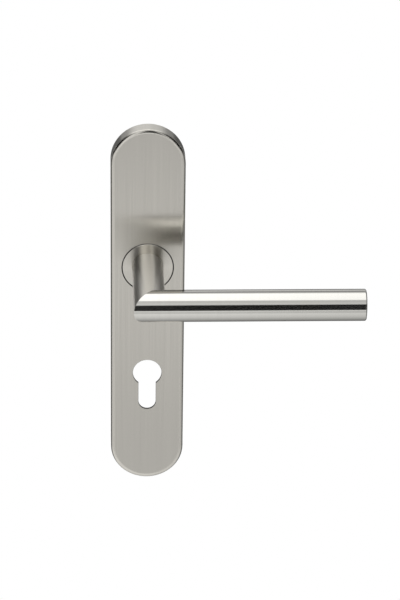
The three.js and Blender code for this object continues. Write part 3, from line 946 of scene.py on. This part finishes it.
# brightness of the studio round the X axis: degrees from the front horizon, 90 is overhead
ROUND_X = [
    (-155, 0.14), (-130, 0.16), (-103, 0.42), (-90, 0.58), (-67, 0.83), (-40, 0.99), (-31.8, 0.92),
    (-30.4, 0.62), (-28.9, 0.65), (-27.5, 0.79), (-26.1, 0.93), (-24.7, 0.90), (-23.3, 0.85),
    (-21.9, 0.62), (-20.5, 0.60), (-18, 1.0), (-12, 1.07), (29.7, 0.88),
    (40, 0.88), (47, 0.78), (59, 0.78), (63.5, 1.66), (111, 1.76), (119, 1.70), (124, 0.92),
    (131, 0.60), (143, 0.28), (152, 0.88), (162, 0.88), (170, 0.36),
]
# how much of it is left towards each side: the X part of the direction, and the share
TO_SIDES = [
    (-1, 0.85), (-0.98, 0.80), (-0.95, 0.10), (-0.72, 0.10), (-0.60, 0.40), (-0.52, 0.92),
    (-0.40, 1.0), (0.03, 1.0), (0.13, 0.88), (0.30, 0.88), (0.44, 0.80), (0.56, 0.34),
    (0.70, 0.22), (0.95, 0.20), (0.98, 0.80), (1, 0.85),
]
# the dark openings in front, by the same two measures; the tent between them lights the plate
OPENING_ROUND_X = [(-12, 0.0), (-11, 1.0), (28.7, 1.0), (29.7, 0.0)]
OPENING_TO_SIDES = [
    (-1, 1.0), (-0.30, 1.0), (-0.26, 0.0), (-0.07, 0.0), (-0.03, 1.0),
    (0.15, 1.0), (0.19, 0.0), (0.26, 0.0), (0.30, 1.0), (1, 1.0),
]
OPENING_DEPTH = 0.985
# a soft box on each side behind the object: directions from the object, and the cosines of its fading edge
SOFT_BOXES = [(0.70, 0.58, -0.40), (-0.70, 0.58, -0.40)]
SOFT_BOX_EDGE = (0.93, 0.985)
FLOOR_Z = plate_low.z - 0.25
FLOOR_RADIUS = 4.0


def studio():
    """A bright tent with dark openings in front, dark cloths at its sides and two soft boxes behind."""
    world = bpy.data.worlds.new("studio")
    bpy.context.scene.world = world
    world.use_nodes = True
    tree = world.node_tree
    tree.nodes.clear()
    link = tree.links.new
    place = tree.nodes.new("ShaderNodeTexCoord")
    split = tree.nodes.new("ShaderNodeSeparateXYZ")
    forward = tree.nodes.new("ShaderNodeMath")
    forward.operation = "MULTIPLY"
    forward.inputs[1].default_value = -1
    angle = tree.nodes.new("ShaderNodeMath")
    angle.operation = "ARCTAN2"
    link(place.outputs["Generated"], split.inputs["Vector"])
    link(split.outputs["Y"], forward.inputs[0])
    link(split.outputs["Z"], angle.inputs[0])
    link(forward.outputs["Value"], angle.inputs[1])

    def graded(value, low, high, unit, stops):
        turn = tree.nodes.new("ShaderNodeMapRange")
        turn.inputs["From Min"].default_value = low * unit
        turn.inputs["From Max"].default_value = high * unit
        ramp = tree.nodes.new("ShaderNodeValToRGB")
        elements = ramp.color_ramp.elements
        elements.remove(elements[-1])
        for i, (at, share) in enumerate(stops):
            position = (at - low) / (high - low)
            element = elements[0] if i == 0 else elements.new(position)
            element.position = position
            element.color = (share, share, share, 1)
        link(value, turn.inputs["Value"])
        link(turn.outputs["Result"], ramp.inputs["Fac"])
        return ramp.outputs["Color"]

    def combine(operation, first, second):
        """Vector maths on two sockets; a number stands for a constant in all three channels."""
        node = tree.nodes.new("ShaderNodeVectorMath")
        node.operation = operation
        for value, socket in zip((first, second), node.inputs):
            if isinstance(value, float):
                socket.default_value = (value, value, value)
            else:
                link(value, socket)
        return node.outputs["Vector"]

    def soft_box(direction):
        """A round soft light seen in one direction."""
        facing = tree.nodes.new("ShaderNodeVectorMath")
        facing.operation = "DOT_PRODUCT"
        facing.inputs[1].default_value = Vector(direction).normalized()
        falloff = tree.nodes.new("ShaderNodeMapRange")
        falloff.interpolation_type = "SMOOTHSTEP"
        falloff.inputs["From Min"].default_value, falloff.inputs["From Max"].default_value = SOFT_BOX_EDGE
        link(place.outputs["Generated"], facing.inputs[0])
        link(facing.outputs["Value"], falloff.inputs["Value"])
        return falloff.outputs["Result"]

    def crossed(round_x, to_sides):
        turn = graded(angle.outputs["Value"], -180, 180, math.pi / 180, round_x)
        return combine("MULTIPLY", turn, graded(split.outputs["X"], -1, 1, 1, to_sides))

    opening = combine("MULTIPLY", crossed(OPENING_ROUND_X, OPENING_TO_SIDES), OPENING_DEPTH)
    total = combine("MULTIPLY", crossed(ROUND_X, TO_SIDES), combine("SUBTRACT", 1.0, opening))
    for direction in SOFT_BOXES:
        total = combine("ADD", total, soft_box(direction))
    light = tree.nodes.new("ShaderNodeBackground")
    link(total, light.inputs["Color"])
    white = tree.nodes.new("ShaderNodeBackground")
    white.inputs["Color"].default_value = (1, 1, 1, 1)
    seen = tree.nodes.new("ShaderNodeLightPath")
    mix = tree.nodes.new("ShaderNodeMixShader")
    out = tree.nodes.new("ShaderNodeOutputWorld")
    link(seen.outputs["Is Camera Ray"], mix.inputs[0])
    link(light.outputs["Background"], mix.inputs[1])
    link(white.outputs["Background"], mix.inputs[2])
    link(mix.outputs["Shader"], out.inputs["Surface"])


def floor():
    """A white floor well below the handle, seen from above only, that neither lights it nor shows in it."""
    edge = [(x, y, FLOOR_Z) for x, y in circle(FLOOR_RADIUS, 64)]
    mesh = bpy.data.meshes.new("floor")
    mesh.from_pydata(edge, [], [range(len(edge))])
    slab = bpy.data.objects.new("floor", mesh)
    bpy.context.scene.collection.objects.link(slab)
    material, tree, shader = new_material("white_floor")
    tree.nodes.remove(shader)
    white = tree.nodes.new("ShaderNodeEmission")
    clear = tree.nodes.new("ShaderNodeBsdfTransparent")
    side = tree.nodes.new("ShaderNodeNewGeometry")
    mix = tree.nodes.new("ShaderNodeMixShader")
    tree.links.new(side.outputs["Backfacing"], mix.inputs[0])
    tree.links.new(white.outputs["Emission"], mix.inputs[1])
    tree.links.new(clear.outputs["BSDF"], mix.inputs[2])
    tree.links.new(mix.outputs["Shader"], tree.nodes["Material Output"].inputs["Surface"])
    slab.data.materials.append(material)
    slab.visible_diffuse = slab.visible_glossy = slab.visible_transmission = slab.visible_shadow = False


studio()
floor()
bpy.context.scene.view_settings.view_transform = "Standard"

# ------------------------------------------------------------------ last update

bpy.context.view_layer.update()
